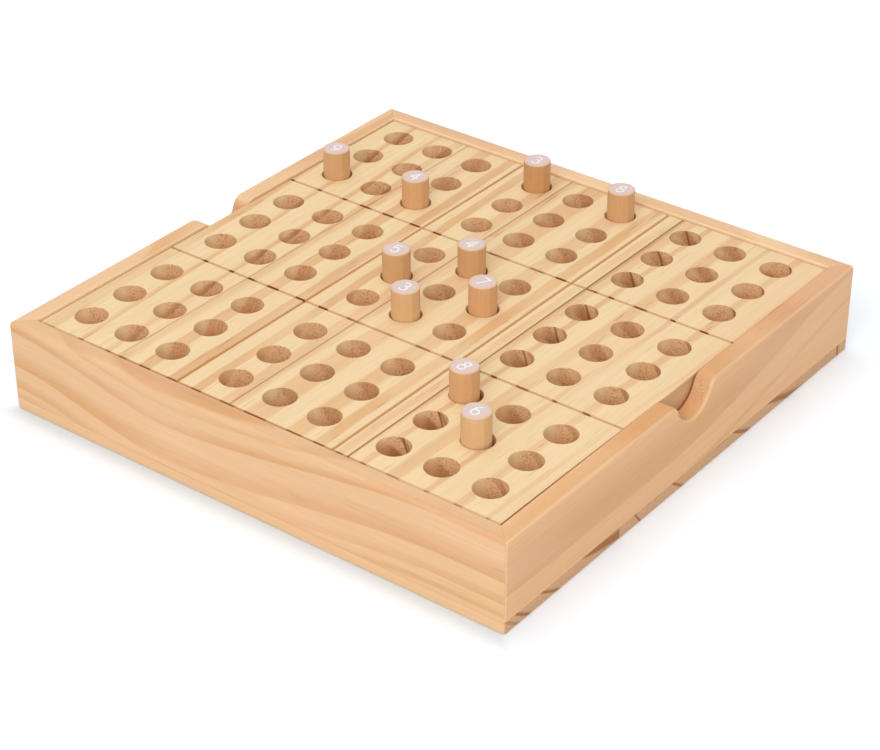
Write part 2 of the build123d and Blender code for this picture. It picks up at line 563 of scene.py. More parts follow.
def plain_pane(x_pane, y_pane, top, bottom):
    """The upper and lower faces of a pane with no hole, with the grooves cut into the upper one."""
    x, y = np.meshgrid(pane_points(x_pane), pane_points(y_pane), indexing="ij")
    return [points(x, y, top - groove_cut(x, y)), points(x, y, bottom)]


def slab_loop(x, y, free, swing_steps=0):
    """The edge of a rectangle of points as a closed loop, with the outward direction at each point.

    x and y are the points along its front and its right side. free says which of the front, right, back
    and left sides stand free: a glued side has no outward direction. Where two free sides meet, the
    direction is their sum, which makes a mitre, or it swings round from one to the other in swing_steps.
    """
    loop_x, loop_y = loop_round(x, y)
    normals = np.array([(0, -1), (1, 0), (0, 1), (-1, 0)]) * np.array(free)[:, None]
    starts = np.cumsum([0, len(x) - 1, len(y) - 1, len(x) - 1, len(y) - 1])
    order, outward = [], []
    for k, (first, last) in enumerate(zip(starts, starts[1:])):
        corner = (normals[k - 1] + normals[k])[None]
        if swing_steps and free[k - 1] and free[k]:
            swing = np.linspace(0, math.pi / 2, swing_steps)[:, None]
            corner = np.cos(swing) * normals[k - 1] + np.sin(swing) * normals[k]
        order += [np.full(len(corner), first), np.arange(first + 1, last)]
        outward += [corner, np.repeat(normals[k][None], last - first - 1, axis=0)]
    order, outward = np.concatenate(order + [[0]]), np.concatenate(outward + [outward[0][:1]])
    return loop_x[order], loop_y[order], outward


def stave_sides(x, y, free, top, bottom):
    """The sides of a stave as one grid: rows go over the ease and down, columns go round."""
    loop_x, loop_y, outward = slab_loop(x, y, free)
    inset, drop = quarter_round(board_ease, turn_steps)
    out = np.append(board_ease - inset, [board_ease, 0])[:, None]
    surface = top - groove_cut(loop_x, loop_y)
    height = np.concatenate([surface - drop[:, None], np.full((2, len(loop_x)), bottom)])
    return points(loop_x + out * outward[:, 0], loop_y + out * outward[:, 1], height)


def stave_grids(node, free):
    """All the grids of one stave of the board, between the corners of its CAD node."""
    low, high = corners(node)
    front, right_side, back_side, left_side = (board_ease * side for side in free)
    columns = panes(low.x + left_side, high.x - right_side, hole_columns, groove_lines_x)
    rows = panes(low.y + front, high.y - back_side, hole_rows, groove_lines_y)
    grids = []
    for column in columns:
        for row in rows:
            holed = column[2] is not None and row[2] is not None
            grids += (holed_pane if holed else plain_pane)(column, row, high.z, low.z)
    grids.append(stave_sides(side_points(columns), side_points(rows), free, high.z, low.z))
    return [(grid, 0) for grid in grids]


# %% The staves
board_staves = []
for number, node in enumerate(staves):
    free = (True, number == len(staves) - 1, True, number == 0)
    piece = make_piece(f"drilled_stave_{number + 1}", stave_grids(node, free), "board", node)
    board_staves.append(piece)

# %% [markdown]
# A wall is a plank with a rounded outer edge, a small inner lip and, on the left and the right, a finger
# notch that rolls over into the rim. It could be a box with a bevel, but a bevel fails where the notch's
# curves are tighter than the edge. So the wall is one profile carried along the line of its rim: at each
# place the profile's points lie a depth in from the outer face and a drop below the rim, measured square
# to it. The ends are cut at 45 degrees and the outer corner is a small arc, seen from above.

# %% The line of a wall's rim
notch_depth = 9.6 * mm
notch_radius = 9.2 * mm
notch_shoulder = 13.5 * mm
corner_radius = 1.2 * mm
throat_steps = 25
shoulder_steps = 9
rim_steps = 23
side_steps = 11


def plain_rim():
    """A straight rim as (along, height, normal along, normal up) at each place between the corner arcs."""
    along = np.linspace(corner_radius - box_half, box_half - corner_radius, rim_steps)
    return np.stack(np.broadcast_arrays(along, rim, 0, 1))


def notched_rim():
    """A rim with the notch: straight, a round shoulder, the half-round throat, a shoulder, straight.

    The throat is an arc of notch_radius about a centre above its floor. The shoulder's radius follows from
    the distance between the two arcs' centres, which is the sum of their radii where they touch.
    """
    centre = rim - notch_depth + notch_radius
    drop = rim - centre
    shoulder = (notch_shoulder**2 + drop**2 - notch_radius**2) / (2 * (notch_radius + drop))
    lean = math.atan2(notch_shoulder, centre - rim + shoulder)
    outer = np.linspace(corner_radius - box_half, -notch_shoulder, side_steps)[:-1]
    straight = np.stack(np.broadcast_arrays(outer, rim, 0, 1))
    roll = np.linspace(0, lean, shoulder_steps)[:-1]
    round_over = np.stack([
        -notch_shoulder + shoulder * np.sin(roll), rim - shoulder + shoulder * np.cos(roll),
        np.sin(roll), np.cos(roll)])
    swing = np.linspace(-lean, lean, throat_steps)
    throat = np.stack([
        notch_radius * np.sin(swing), centre - notch_radius * np.cos(swing), -np.sin(swing), np.cos(swing)])
    half = np.concatenate([straight, round_over], axis=1)
    return np.concatenate([half, throat, half[:, ::-1] * np.array([[-1], [1], [-1], [1]])], axis=1)


print("the notch is", round((rim - notched_rim()[1].min()) / mm, 2), "mm deep")

# %% The profile of a wall, carried along its rim
rim_radius = 1.5 * mm
lip_ease = 0.4 * mm
flat_support = 0.25 * mm
ease_steps = 6
corner_steps = 4
wall_turns = {"front_wall": 0, "right_wall": 1, "back_wall": 2, "left_wall": 3}


def wall_profile():
    """The profile as (depth, drop) from the outer face's foot over both eased edges to the inner face's foot.

    Each eased edge is a quarter circle. An infinite drop stands for the foot, which is cut off level.
    """
    fall, rise = quarter_round(rim_radius, ease_steps)
    inset, drop = quarter_round(lip_ease, ease_steps)
    outer_run, inner_run = rim_radius + flat_support, lip_ease + flat_support
    depth = np.concatenate([
        [0, 0], rise, [outer_run, wall_thickness - inner_run], wall_thickness - inset,
        [wall_thickness, wall_thickness, 0]])
    down = np.concatenate([[np.inf, outer_run], fall, [0, 0], drop, [inner_run, np.inf, np.inf]])
    return depth, down


def wall_points(rim_line, foot):
    """Carries the profile along the rim: rows are places along the wall, columns are the profile's points.

    Past the last straight place the rows swing round the corner's arc, as far as the mitre at 45 degrees.
    A point deeper than the arc's radius stops at the mitre, where its distance along equals its distance out.
    """
    depth, drop = wall_profile()
    at_foot = np.isinf(drop)
    reach = np.where(at_foot, np.where(depth > 0, lip_ease, rim_radius) + flat_support, drop)
    along, up, normal_along, normal_up = rim_line[..., None]
    a = along - normal_along * reach
    z = np.where(at_foot, foot, up - normal_up * reach)
    mitre = np.where(depth < corner_radius, box_half - corner_radius, box_half - depth)
    a = np.clip(a, -mitre, mitre)
    d = np.broadcast_to(depth, a.shape)
    swing = np.linspace(0, math.pi / 4, corner_steps)[1:, None]
    arm = np.maximum(corner_radius - depth, 0)
    end_a = mitre + arm * np.sin(swing)
    end_d = np.where(depth < corner_radius, corner_radius - arm * np.cos(swing), depth)
    end_z = np.repeat(z[-1:], len(swing), axis=0)
    rows_a = np.concatenate([-end_a[::-1], a, end_a])
    rows_d = np.concatenate([end_d[::-1], d, end_d])
    rows_z = np.concatenate([end_z, z, end_z])
    return rows_a, rows_d, rows_z


def turned(a, d, z, quarter_turns):
    """Places points given along and in from the front face onto the wall that is some quarter turns round."""
    x, y = a, d - box_half
    for _ in range(quarter_turns):
        x, y = -y, x
    return points(x, y, z)


def closed_by(ring):
    """A flat end: a grid from a ring of points to their middle."""
    middle = np.broadcast_to((ring.min(axis=0) + ring.max(axis=0)) / 2, ring.shape)
    return np.stack([ring, middle])


print("points in a wall's profile:", len(wall_profile()[0]))

# %% The walls
walls = []
for node, quarter_turns in wall_turns.items():
    rim_line = notched_rim() if quarter_turns % 2 else plain_rim()
    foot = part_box(node)[0][2]
    skin = turned(*wall_points(rim_line, foot), quarter_turns)
    grids = [(skin, 0), (closed_by(skin[0]), 0), (closed_by(skin[-1]), 0)]
    walls.append(make_piece(node.replace("_wall", "_plank"), grids, "box", node))

# %% [markdown]
# The base, the backing board and the corner blocks are plain slabs. Each is its outline drawn in by an
# inset that changes with height: the inset is the ease at the top, falls to nothing along a quarter
# circle, stays at nothing down the side and grows again at the foot. Outer corners are arcs whose radius
# shrinks by the inset, so the edge keeps its width all the way round.

# %% The slabs
base_corner = 1.2 * mm
base_ease = 0.15 * mm
foot_ease = 0.6 * mm
block_ease = 0.5 * mm
block_corner = 0.8 * mm
slab_steps = 5


def slab_grids(node, free, corner, top_ease, bottom_ease):
    """The grids of a slab between the corners of its CAD node: its sides, its top and its bottom."""
    low, high = corners(node)
    x = np.linspace(low.x + corner * free[3], high.x - corner * free[1], slab_steps)
    y = np.linspace(low.y + corner * free[0], high.y - corner * free[2], slab_steps)
    top_inset, fall = quarter_round(top_ease, ease_steps)
    rise, foot_inset = quarter_round(bottom_ease, ease_steps)
    inset = np.concatenate([[corner], top_inset, foot_inset, [corner]])
    height = np.concatenate([[high.z], high.z - fall, low.z + rise, [low.z]])[:, None]
    loop_x, loop_y, outward = slab_loop(x, y, free, swing_steps=ease_steps)
    out = (corner - inset)[:, None]
    sides = points(loop_x + out * outward[:, 0], loop_y + out * outward[:, 1], height)
    flats = [points(x[:, None], y, z) for z in (high.z, low.z)]
    return [(grid, 0) for grid in [sides] + flats]


base_planks = []
for number, node in enumerate(base_staves):
    free = (number == 0, True, number == len(base_staves) - 1, True)
    grids = slab_grids(node, free, base_corner, base_ease, foot_ease)
    base_planks.append(make_piece(f"base_plank_{number + 1}", grids, "box", node))

all_free = (True, True, True, True)
grids = slab_grids("backing_board", all_free, block_corner, 0, board_ease)
backing = make_piece("backing_plate", grids, "board", "backing_board")
blocks = []
for node in corner_blocks:
    grids = slab_grids(node, all_free, block_corner, block_ease, block_ease)
    blocks.append(make_piece(node.replace("_block", "_rest"), grids, "box", node))

# %% [markdown]
# A numeral is one or more strokes of paint. A font would do, but its outline is flat and heavier than the
# thin rounded print here, so each stroke is a centre line, drawn in a unit box with arcs and straight
# runs, and a low half-round bead of paint carried along it. Corners are two strokes whose round ends
# overlap, as a pen makes them.

# %% The numerals' strokes
arc_steps = 22
line_steps = 2


def arc(centre_x, centre_y, radius_x, radius_y, start, end):
    """Points on an ellipse from one angle to the other, in degrees, counted anticlockwise from the right."""
    angle = np.radians(np.linspace(start, end, arc_steps))
    return np.stack([centre_x + radius_x * np.cos(angle), centre_y + radius_y * np.sin(angle)], axis=-1)


def line(x0, y0, x1, y1):
    """Points on a straight run."""
    t = np.linspace(0, 1, line_steps)[:, None]
    return np.array([x0, y0]) * (1 - t) + np.array([x1, y1]) * t


strokes = {
    1: [line(0.16, 0.80, 0.36, 1.0), line(0.36, 1.0, 0.36, 0.0)],
    2: [arc(0.30, 0.71, 0.27, 0.29, 165, -42), line(0.50, 0.516, 0.04, 0.0), line(0.04, 0.0, 0.58, 0.0)],
    3: [arc(0.28, 0.76, 0.24, 0.24, 150, -90), arc(0.28, 0.27, 0.28, 0.27, 90, -150)],
    4: [line(0.44, 0.0, 0.44, 1.0), line(0.44, 1.0, 0.0, 0.30), line(0.0, 0.30, 0.62, 0.30)],
    5: [line(0.54, 1.0, 0.13, 1.0), line(0.13, 1.0, 0.08, 0.54), arc(0.28, 0.32, 0.29, 0.32, 133, -145)],
    6: [arc(0.30, 0.30, 0.27, 0.30, 180, 540), arc(0.60, 0.30, 0.57, 0.70, 180, 103)],
    7: [line(0.02, 1.0, 0.58, 1.0), line(0.58, 1.0, 0.20, 0.0)],
    8: [arc(0.30, 0.76, 0.22, 0.24, 90, 450), arc(0.30, 0.26, 0.27, 0.26, 90, 450)],
    9: [arc(0.30, 0.70, 0.27, 0.30, 0, 360), arc(0.00, 0.70, 0.57, 0.70, 0, -77)],
}
numeral_height = 4.7 * mm
numeral_middle = (0.30, 0.5)
stroke_half = 0.35 * mm
paint_height = 0.07 * mm
paint_sink = 0.03 * mm
bead_steps = 7
cap_steps = 4


def bead(path):
    """A stroke as (u, v, height): a half-round bead carried along a flat path, with round ends.

    Across the stroke the height is the square root of one less the squared distance. Past each end the
    path goes on by the sine of an angle while the width and height shrink by its cosine.
    """
    path = (path - np.array(numeral_middle)) * numeral_height
    tangent = np.gradient(path, axis=0)
    tangent /= np.linalg.norm(tangent, axis=1, keepdims=True)
    swing = np.linspace(0, math.pi / 2, cap_steps)[1:]
    before = path[0] - tangent[0] * stroke_half * np.sin(swing[::-1, None])
    after = path[-1] + tangent[-1] * stroke_half * np.sin(swing[:, None])
    middle = np.concatenate([before, path, after])
    along = np.pad(tangent, ((len(swing), len(swing)), (0, 0)), mode="edge")
    full = np.concatenate([np.cos(swing[::-1]), np.ones(len(path)), np.cos(swing)])[:, None]
    across = np.cos(np.linspace(math.pi, 0, bead_steps))
    height = full * paint_height * np.sqrt(1 - across**2)
    across, height = np.append(across, across[::-1]), np.append(height, height[:, ::-1] * 0, axis=1)
    u = middle[:, :1] + full * stroke_half * across * along[:, 1:]
    v = middle[:, 1:] - full * stroke_half * across * along[:, :1]
    return points(u, v, height - paint_sink)


print("strokes in all nine numerals:", sum(len(each) for each in strokes.values()))

# %% [markdown]
# A peg is a turned beech dowel: a profile of radius and height swept round its axis, eased at both ends.
# The numbered end is printed with a pale ground, which stops short of the ease and leaves a thin ring of
# bare wood. Each peg is marked with its own axes, tone and warmth, which its wood reads later.

# %% A dowel with a number
round_steps = 40
peg_ease = 0.4 * mm
foot_round = 0.3 * mm
print_edge = 0.25 * mm
stick_step = 7.3
print_ring = peg_radius - peg_ease - print_edge
numeral_room = paint_height - paint_sink


def dowel(length):
    """A dowel with its axis on z as (points, material number): its bare wood, and its printed end."""
    top = length - numeral_room
    foot_inset, foot_rise = quarter_round(foot_round, ease_steps)
    head_drop, head_inset = quarter_round(peg_ease, ease_steps)
    radius = np.concatenate([[0], peg_radius - foot_inset, peg_radius - head_inset, [print_ring]])
    height = np.concatenate([[0], foot_rise, top - head_drop, [top]])
    print_radius = np.array([print_ring, print_ring / 2, 0])
    return [(lathe(radius, height), 0), (lathe(print_radius, np.full(3, top)), 1)]


def lathe(radius, height):
    """A profile swept round z: rows go along the profile, columns round the axis and back to the first."""
    angle = np.linspace(0, 2 * math.pi, round_steps + 1)
    return points(radius[:, None] * np.cos(angle), radius[:, None] * np.sin(angle), height[:, None])


def numbered_dowel(number, length, turn=0.0):
    """A dowel with its numeral on the printed end, upright along y or turned anticlockwise by degrees."""
    cos, sin = math.cos(math.radians(turn)), math.sin(math.radians(turn))
    spin = np.array([[cos, sin, 0], [-sin, cos, 0], [0, 0, 1]])
    raised = np.array([0, 0, length - numeral_room])
    return dowel(length) + [(bead(stroke) @ spin + raised, 2) for stroke in strokes[number]]


def mark_dowels(piece, axis_of, tones):
    """Stores each point's place on its own dowel, for the grain, and its dowel's tone, warmth and number.

    axis_of takes the points and gives (number of the dowel, points in the dowel's own axes).
    """
    places = np.empty(len(piece.data.vertices) * 3)
    piece.data.vertices.foreach_get("co", places)
    index, local = axis_of(places.reshape(-1, 3))
    timber = np.column_stack([np.array(tones)[index], index + stick_step * len(tones)])
    for name, values in {"dowel_place": local, "dowel_timber": timber}.items():
        store = piece.data.attributes.new(name, "FLOAT_VECTOR", "POINT")
        store.data.foreach_set("vector", values.ravel().astype(np.float32))


print("radius of the print:", round(print_ring / mm, 2), "mm, of the peg:", round(peg_radius / mm, 2), "mm")

# %% The pegs that stand in the board
# each has its tone and warmth, from 0 to 1, and its turn in degrees
peg_looks = {
    "peg_9_column_1_row_7": (0.6, 0.3, 6), "peg_4_column_3_row_7": (0.5, 0.9, 0),
    "peg_3_column_4_row_9": (0.9, 0.5, 4), "peg_8_column_6_row_9": (0.6, 0.4, 5),
    "peg_4_column_5_row_6": (0.7, 0.4, -10), "peg_5_column_4_row_5": (0.65, 0.1, 6),
    "peg_7_column_6_row_5": (0.5, 1.0, -10), "peg_3_column_5_row_4": (0.4, 0.2, 0),
    "peg_8_column_7_row_3": (0.5, 0.7, -20), "peg_6_column_8_row_2": (0.25, 0.2, 5),
}
standing = []
for node in pegs:
    low, high = corners(node)
    foot = np.array([(low.x + high.x) / 2, (low.y + high.y) / 2, low.z])
    _, number, _, column, _, row = node.split("_")
    tone, warmth, turn = peg_looks[node]
    grids = [(grid + foot, material) for grid, material in numbered_dowel(int(number), peg_length, turn)]
    place = f"{number}_c{column}_r{row}"
    piece = make_piece(f"dowel_{place}", grids, f"peg_{place}", node)
    mark_dowels(piece, lambda p, foot=foot: (np.zeros(len(p), int), p - foot), [(tone, warmth)])
    standing.append(piece)

# %% [markdown]
# The spare pegs wait in the well, side by side, one group for each number. A group is one CAD node, so it
# is one piece here too. Each of its dowels is laid over and moved along by the pitch, and every dowel gets
# its own turn and tone from a fixed run of random draws, so that no two look the same.

# %% The spare pegs
spare_pitch = 10.1 * mm
look_draws = np.random.default_rng(5)
most_turn = 15
tone_range = (0.15, 0.8)


def laid_over(grid, x, low_y, z):
    """Lays a dowel from standing along z to lying along y, its numeral upright on the far end."""
    return points(x - grid[..., 0], low_y + grid[..., 2], z + grid[..., 1])


spares = []
for node in spare_pegs:
    low, high = corners(node)
    number = int(node.split("_")[-1])
    count = round((high.x - low.x - 2 * peg_radius) / spare_pitch) + 1
    first_x, middle_z = low.x + peg_radius, (low.z + high.z) / 2
    turns = look_draws.uniform(-most_turn, most_turn, count)
    grids = [
        (laid_over(grid, first_x + i * spare_pitch, low.y, middle_z), material)
        for i in range(count) for grid, material in numbered_dowel(number, peg_length, turns[i])]
    piece = make_piece(f"spare_dowels_{number}", grids, "box", node)

    def on_dowel(p):
        index = np.clip(np.round((p[:, 0] - first_x) / spare_pitch), 0, count - 1).astype(int)
        across = first_x + index * spare_pitch - p[:, 0]
        return index, points(across, p[:, 2] - middle_z, p[:, 1] - low.y)

    mark_dowels(piece, on_dowel, look_draws.uniform(*tone_range, (count, 2)))
    spares.append(piece)
    print("that is", count, "pegs with the number", number)

# %% [markdown]
# The board's wood. Each stave has its own rings, listed where they cross the top, and its own slant, which
# shows down the walls of the holes. Its cut end grain has its own tone too, and two rings of the right
# stave show there as dark edges. The cutter scorched the cross grooves, most of all in the hard late wood,
# while the grooves along the grain stayed golden. The front edge is singed and darkened in its late wood
# the same way, and the right edge near the front corner gets a brown band: both are painted shade, for the
# shadowed gaps between the board and the front and right walls. The board's right side is a darker tan,
# partly its sawn face and partly painted shade from the wall beside it. The glue lines are thin and dark,
# the one right of the middle darkest, with a tan band beside it.

# %% The board's rings and tones
board_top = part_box(staves[0])[1][2] / mm
free_edge = 92.9
board_rings = [
    dict(slant=-0.88, drift=0.044, late_cut=(160, 104, 60), rings=[
        (-96.5, -93.6, -90.4, -89.8, 0.7), (-80.6, -78.6, -77.9, -77.5, 0.8),
        (-68.8, -67.2, -66.2, -65.7, 0.8), (-60, -59.4, -57.5, -55, 0.7)]),
    dict(slant=-0.3, drift=0.012, late_cut=(208, 156, 106), rings=[
        (-59.5, -59, -57.2, -54.4, 0.6), (-50.9, -50.4, -46.2, -45.6, 0.75), (-38.6, -38, -34.4, -33.7, 0.95),
        (-28.6, -28.1, -24.9, -24.2, 0.85), (-17.2, -16, -13, -9.5, 0.75)]),
    dict(slant=0.4, drift=-0.008, late_cut=(178, 124, 78), rings=[
        (-13, -12, -9.4, -7.6, 0.75), (-5.4, -4, 3.4, 4.9, 0.65), (12, 13.4, 18.4, 19.9, 0.6),
        (23, 24, 27.4, 28.3, 0.85), (32, 32.8, 34.8, 35.6, 0.6)]),
    dict(slant=0.78, drift=-0.03, late_cut=(164, 106, 58), rings=[
        (34.6, 35.3, 38.8, 40.2, 0.9), (43.3, 44, 45.5, 46.1, 0.75), (52.8, 54.2, 58, 59.2, 0.6),
        (67, 67.8, 69, 69.8, 0.85), (78.4, 79.2, 81.4, 82.4, 0.75), (90, 90.8, 91.6, 92.6, 0.5)]),
]
ring_overlap = 12
dark_rings = {3: [41.7, 83.3]}
dark_ring_slant, dark_ring_drift = 0.3, 0.012
glue_strength = {0: 0.35, 1: 0.55, 2: 0.85}
banded_glue = 2
# Some of these sizes and colours set painted shade: the dark line along the board's front edge, the brown
# band on its right edge near the front corner, and in part the darker tan of its right side. The singed tan
# and char brown also colour the real scorch in the cross grooves.
groove_reach, front_shade_reach, ring_reach = (0.45, 0.7), (0.6, 1.25), (0.15, 0.6)
glue_reach, band_reach, band_shift, band_run = (0.1, 0.6), (0.4, 1.4), 0.5, (-30.0, 60.0)
front_middle, front_run = -15.0, (75.0, 40.0)
right_shade_width, right_shade_run, right_lean_run = 0.35, (-20.0, -45.0), (-30.0, -free_edge)
burn_and_shade_depths, cut_depths, sawn_and_shade_depths = (1.3, 0.95), (0.15, 0.35), (0.2, 0.5)
singed_and_shade_tan, char_and_shade_brown, ring_brown, sawn_and_shade_tan = (184, 130, 72), (122, 60, 4), (112, 62, 22), (196, 144, 92)
groove_gold, glue_brown, band_brown = (198, 136, 66), (146, 86, 28), (168, 108, 52)
print("rings in the board's staves:", [len(each["rings"]) for each in board_rings])

# %% The board's wood
def scorch_and_edge_shade(bench, wood, x, y, depth, late, cross_groove):
    """Singes the cross grooves and burns their late wood, and paints shade on the front edge and the right
    edge's front.
    """
    middle_run = bench.rise(abs(x - front_middle), *front_run) * 0.5 + 0.5
    # Painted shade: a singed, darkened line along the front edge, for the shadowed gap beside the front wall.
    front_edge_shade = bench.near(y, [-free_edge], front_shade_reach) * middle_run
    wood = bench.tinted(wood, bench.largest(cross_groove * 0.5, front_edge_shade * 0.9), singed_and_shade_tan)
    # Painted shade: a brown band on the right edge near the front corner, for the shadowed gap beside the
    # right wall.
    right_edge_shade = free_edge - bench.rise(y, *right_lean_run) * right_shade_width
    right_edge_shade = bench.rise(x, right_edge_shade - right_shade_width, right_edge_shade) * bench.rise(y, *right_shade_run)
    burnt_and_shaded = bench.largest(cross_groove, front_edge_shade) * bench.rise(late, 0.1, 0.6) * 0.95
    burnt_and_shaded = bench.largest(burnt_and_shaded, right_edge_shade * 0.85) * bench.rise(depth, *burn_and_shade_depths)
    return bench.tinted(wood, burnt_and_shaded, char_and_shade_brown)


def glued(bench, wood, number, x, y):
    """Draws the glue lines at both sides of a stave, and the band beside the darkest one."""
    for edge in (number - 1, number):
        if edge in glue_strength:
            glue_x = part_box(staves[edge])[1][0] / mm
            if edge == banded_glue:
                band = bench.near(x, [glue_x + band_shift], band_reach) * bench.rise(y, *band_run)
                wood = bench.tinted(wood, band * 0.4, band_brown)
            wood = bench.tinted(wood, bench.near(x, [glue_x], glue_reach) * glue_strength[edge], glue_brown)
    return wood


def stave_wood(number, slant, drift, late_cut, rings):
    """The material of one stave of the board, whose ring line leans with the depth and drifts along y."""
    material, bench, shader, place, normal = start_material(f"stave_pine_{number + 1}")
    x, y, z = bench.split(place)
    depth = board_top - z
    ripple = bench.wander(place, (0.1, 0.09, 0.1), 0.45)
    line_place = x - depth * slant + y * drift + bench.wander(place, (0.012, 0.017, 0.02), 2.0) + ripple
    low, high = (corner[0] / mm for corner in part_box(staves[number]))
    late = bands(bench, line_place, low - ring_overlap, high + ring_overlap, rings)
    late = late * bench.rise(bench.noise(place, (0.04, 0.02, 0.04), 1.0), 0.1, 0.6)
    cross_groove = bench.near(y, [each / mm for each in groove_lines_y], groove_reach)
    long_groove = bench.near(x, [each / mm for each in groove_lines_x], groove_reach)
    end = bench.rise(abs(bench.split(normal)[1]), 0.25, 0.85) * bench.rise(depth, *cut_depths)
    end = end * (1.0 - cross_groove)
    wood, rough, height = use(
        bench, pine_finish, place=place, late=late, end=end, early_colour=(243, 213, 166),
        late_colour=(225, 179, 130), end_colour=(231, 187, 141), late_end=late_cut,
        ducts=1.0, blush=0.35, pits=0.6)
    wood = scorch_and_edge_shade(bench, wood, x, y, depth, late, cross_groove)
    if number in dark_rings:
        ring_x = x - depth * dark_ring_slant + y * dark_ring_drift + ripple
        dark_ring = bench.near(ring_x, dark_rings[number], ring_reach)
        wood = bench.tinted(wood, dark_ring * end * 0.7, ring_brown)
    # The board's right side is painted a darker tan: partly its sawn face, partly painted shade from the wall
    # beside it.
    sawn_and_shaded = bench.rise(x, free_edge, free_edge + 0.08) * bench.rise(depth, *sawn_and_shade_depths)
    wood = bench.tinted(wood, sawn_and_shaded * 0.6, sawn_and_shade_tan)
    wood = bench.tinted(wood, long_groove * 0.6, groove_gold)
    finish_material(bench, shader, glued(bench, wood, number, x, y), 0.06, rough, height)
    return material


stave_woods = [stave_wood(number, **values) for number, values in enumerate(board_rings)]
for piece, wood in zip(board_staves, stave_woods):
    piece.data.materials.append(wood)
backing.data.materials.append(stave_woods[1])
print("stave materials:", [wood.name for wood in stave_woods])

# %% [markdown]
# The walls are planks of the same pine, each in its own tone, with the grain along them. On the front one
# the rings make a wide, shallow bowl whose lowest point lies left of the middle. On the right one a darker
# upper zone ends in a line that climbs to the rim at the far corner, and the rim itself turns tan in places.
# The crest of its rounded outer edge is given a painted highlight. The two hidden walls get rings of the
# same kind. The eased inner edge carries painted shade on the front and right walls, for the shadowed gap
# beside the board, and painted light on the other two, to lift the shade on their inner edge. Each corner
# shows its mitre as a fine line.

# %% The walls' rings and tones
wall_rings = {
    "front_wall": dict(early=(232, 188, 141), middle=-33, left=(68, 9.8), right=(110, 12), slant=0.45, rings=[
        (-39, -38.5, -37.8, -36, 0.5), (-34.5, -34, -33.4, -30.5, 0.6), (-26.7, -26.2, -24.6, -18.5, 0.75),
        (-13.2, -12.8, -12.2, -9.4, 0.8), (-6.2, -5.8, -5.2, -3.4, 0.35), (-1.5, -0.5, 2.6, 5, 0.7)]),
    "right_wall": dict(early=(241, 189, 139), middle=-15, left=(60, 0), right=(140, 20), slant=0.5, rings=[
        (-31, -30.4, -29.8, -28, 0.4), (-20.2, -19.6, -13, -2.5, 0.55), (-0.5, 0.2, 1.6, 3.5, 0.3)]),
    "back_wall": dict(early=(245, 206, 163), middle=40, left=(100, 9), right=(60, 8), slant=0.4, rings=[
        (-33.5, -33, -31.5, -28, 0.7), (-24.4, -23.8, -22, -16, 0.8), (-10.8, -10.2, -9, -3.5, 0.6),
        (-1, 0, 2.6, 5, 0.25)]),
    "left_wall": dict(early=(241, 198, 152), middle=10, left=(80, 12), right=(60, 7), slant=0.4, rings=[
        (-30.6, -30, -28, -24, 0.7), (-18.6, -18, -16.4, -11, 0.8), (-6.2, -5.6, -4, 0, 0.4)]),
}
wall_low_mark, wall_high_mark = -60, 14
mitre_reach, mitre_clear = (0.08, 0.22), (3.0, 6.0)
# The crest's pale colour is a painted highlight. The lip's dark colour is painted shade, and its pale colour
# is painted light.
crest_highlight_slope, crest_highlight_reach, crest_highlight_depths = 0.7, (0.1, 0.3), (1.8, 1.2)
lip_painted_light_drops = (1.6, 1.1)
seam_brown, crest_highlight_cream = (176, 118, 72), (255, 222, 178)
rim_tan = [(0.0, 0.0), (0.24, 0.0), (0.36, 0.85), (0.56, 0.8), (0.7, 0.35), (0.8, 0.95), (1.0, 1.0)]
lip_painted_shade, lip_painted_light = (120, 66, 24), (255, 228, 186)
lip_light_and_shade = {
    "front_wall": (0.45, lip_painted_shade), "right_wall": (0.85, lip_painted_shade),
    "back_wall": (0.7, lip_painted_light), "left_wall": (0.7, lip_painted_light),
}
print("rings in the walls:", {node: len(each["rings"]) for node, each in wall_rings.items()})

